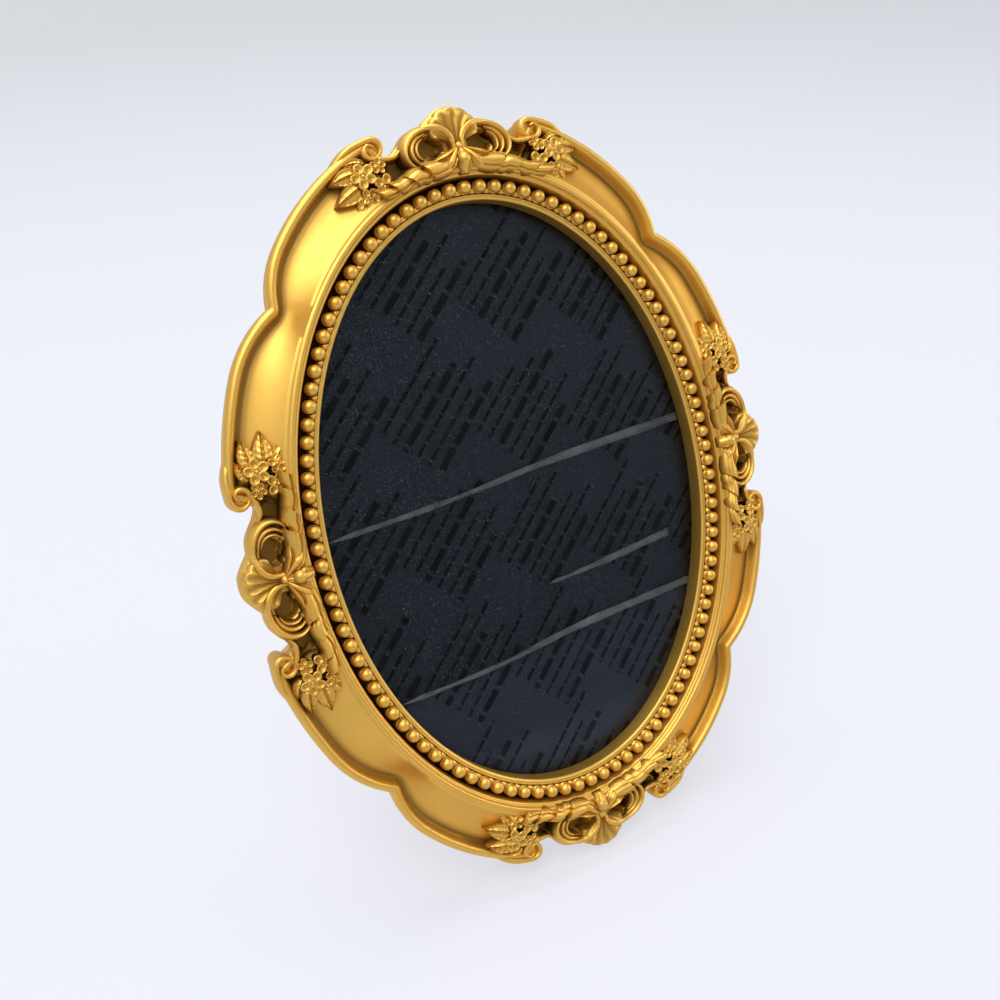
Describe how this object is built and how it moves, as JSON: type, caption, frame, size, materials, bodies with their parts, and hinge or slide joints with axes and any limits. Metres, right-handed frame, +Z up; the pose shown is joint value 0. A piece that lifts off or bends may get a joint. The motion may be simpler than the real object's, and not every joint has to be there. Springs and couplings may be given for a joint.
{
  "type": "oval picture frame",
  "caption": "Oval tabletop picture frame with a scalloped, carved gilt moulding, beaded sight edge, clear pane, board back, easel leg and wall hangers.",
  "frame": {"origin": "middle of the footprint of the standing frame with its leg open, on the surface that it stands on", "axes": "+Z up, the front faces -Y and leans back 25 degrees, +X to the viewer's right"},
  "size_m": [0.1692, 0.1112, 0.1997],
  "materials": {
    "gilt_resin": "antique gold metallic paint on cast resin, satin, darker in the recesses",
    "clear_acrylic": "clear, polished",
    "protective_film": "thin clear film, creased",
    "black_card": "matt black",
    "flocked_board": "black flocked fibreboard",
    "plated_steel": "brass-plated stamped steel",
    "black_steel": "black lacquered stamped steel",
    "brass_rivet": "bright brass"
  },
  "bodies": {
    "frame": {"frame_moulding": "gilt_resin", "front_film": "protective_film", "acrylic_pane": "clear_acrylic", "rear_film": "protective_film", "backing_card": "black_card", "back_board": "flocked_board", "board_hinge_plate": "plated_steel", "hinge_pin": "plated_steel", "board_rivets": "brass_rivet", "turn_button_screws": "plated_steel", "top_hanger_strap": "plated_steel", "side_hanger_strap": "plated_steel", "hanger_rivets": "brass_rivet"},
    "leg": {"easel_leg": "flocked_board", "leg_hinge_plate": "plated_steel", "leg_rivets": "brass_rivet"},
    "top_ring": {"top_hanger_ring": "plated_steel"},
    "side_ring": {"side_hanger_ring": "plated_steel"},
    "button_1": {"turn_button_1": "black_steel"},
    "button_2": {"turn_button_2": "black_steel"},
    "button_3": {"turn_button_3": "black_steel"},
    "button_4": {"turn_button_4": "black_steel"},
    "button_5": {"turn_button_5": "black_steel"},
    "button_6": {"turn_button_6": "black_steel"}
  },
  "joints": [
    {"name": "leg_fold", "type": "hinge", "parent": "frame", "child": "leg", "pos_m": [0, 0.01998, 0.12975], "axis": [1, 0, 0], "range_deg": [-38, 0]},
    {"name": "top_ring_swing", "type": "hinge", "parent": "frame", "child": "top_ring", "pos_m": [0, 0.03379, 0.16082], "axis": [1, 0, 0], "range_deg": [-24, 154]},
    {"name": "side_ring_swing", "type": "hinge", "parent": "frame", "child": "side_ring", "pos_m": [-0.042, 0.00336, 0.09557], "axis": [0, 0.4226, 0.9063], "range_deg": [-88, 88]},
    {"name": "button_1_turn", "type": "hinge", "parent": "frame", "child": "button_1", "pos_m": [0.0686, 0.00261, 0.09592], "axis": [0, -0.9063, 0.4226], "range_deg": [-90, 90]},
    {"name": "button_2_turn", "type": "hinge", "parent": "frame", "child": "button_2", "pos_m": [0.04513, 0.03225, 0.15949], "axis": [0, -0.9063, 0.4226], "range_deg": [-90, 90]},
    {"name": "button_3_turn", "type": "hinge", "parent": "frame", "child": "button_3", "pos_m": [-0.04513, 0.03225, 0.15949], "axis": [0, -0.9063, 0.4226], "range_deg": [-90, 90]},
    {"name": "button_4_turn", "type": "hinge", "parent": "frame", "child": "button_4", "pos_m": [-0.0686, 0.00261, 0.09592], "axis": [0, -0.9063, 0.4226], "range_deg": [-90, 90]},
    {"name": "button_5_turn", "type": "hinge", "parent": "frame", "child": "button_5", "pos_m": [-0.04513, -0.02703, 0.03235], "axis": [0, -0.9063, 0.4226], "range_deg": [-90, 90]},
    {"name": "button_6_turn", "type": "hinge", "parent": "frame", "child": "button_6", "pos_m": [0.04513, -0.02703, 0.03235], "axis": [0, -0.9063, 0.4226], "range_deg": [-90, 90]}
  ]
}
